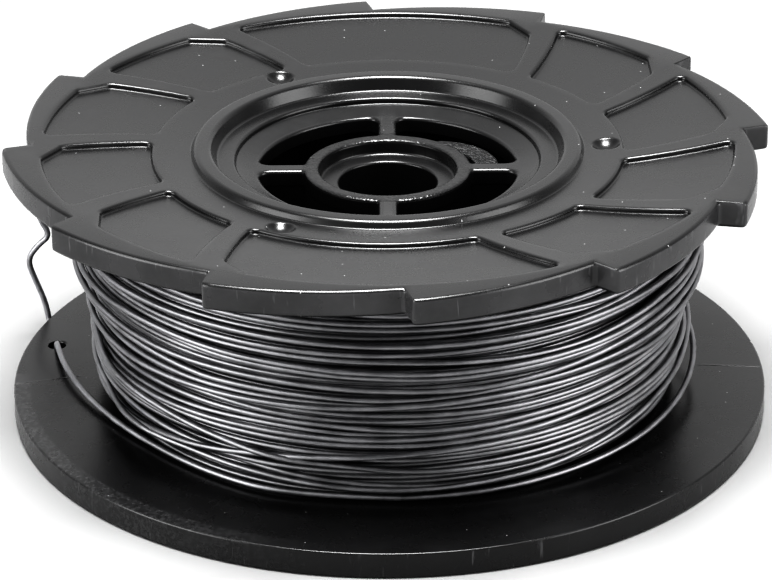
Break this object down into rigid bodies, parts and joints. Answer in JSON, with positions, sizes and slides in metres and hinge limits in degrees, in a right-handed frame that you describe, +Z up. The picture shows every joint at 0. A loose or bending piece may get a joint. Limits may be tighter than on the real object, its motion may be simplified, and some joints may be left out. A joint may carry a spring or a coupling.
{
  "type": "spool of binding wire",
  "caption": "Flanged plastic spool wound with annealed steel tie wire; toothed drive flange, stepped hub recess, and a wire end threaded through the lower flange.",
  "frame": {"origin": "on the spool's axis, in the plane of the lower flange's rim that it stands on", "axes": "+Z up along the spool's axis towards the toothed flange, -Y towards the viewer of the picture"},
  "size_m": [0.1, 0.1, 0.0376],
  "materials": {
    "spool_plastic": "moulded, semi-matt black",
    "annealed_wire": "dark annealed, slightly oily"
  },
  "bodies": {
    "root": {"spool": "spool_plastic", "wire_coil": "annealed_wire", "wire_end": "annealed_wire"}
  },
  "joints": []
}
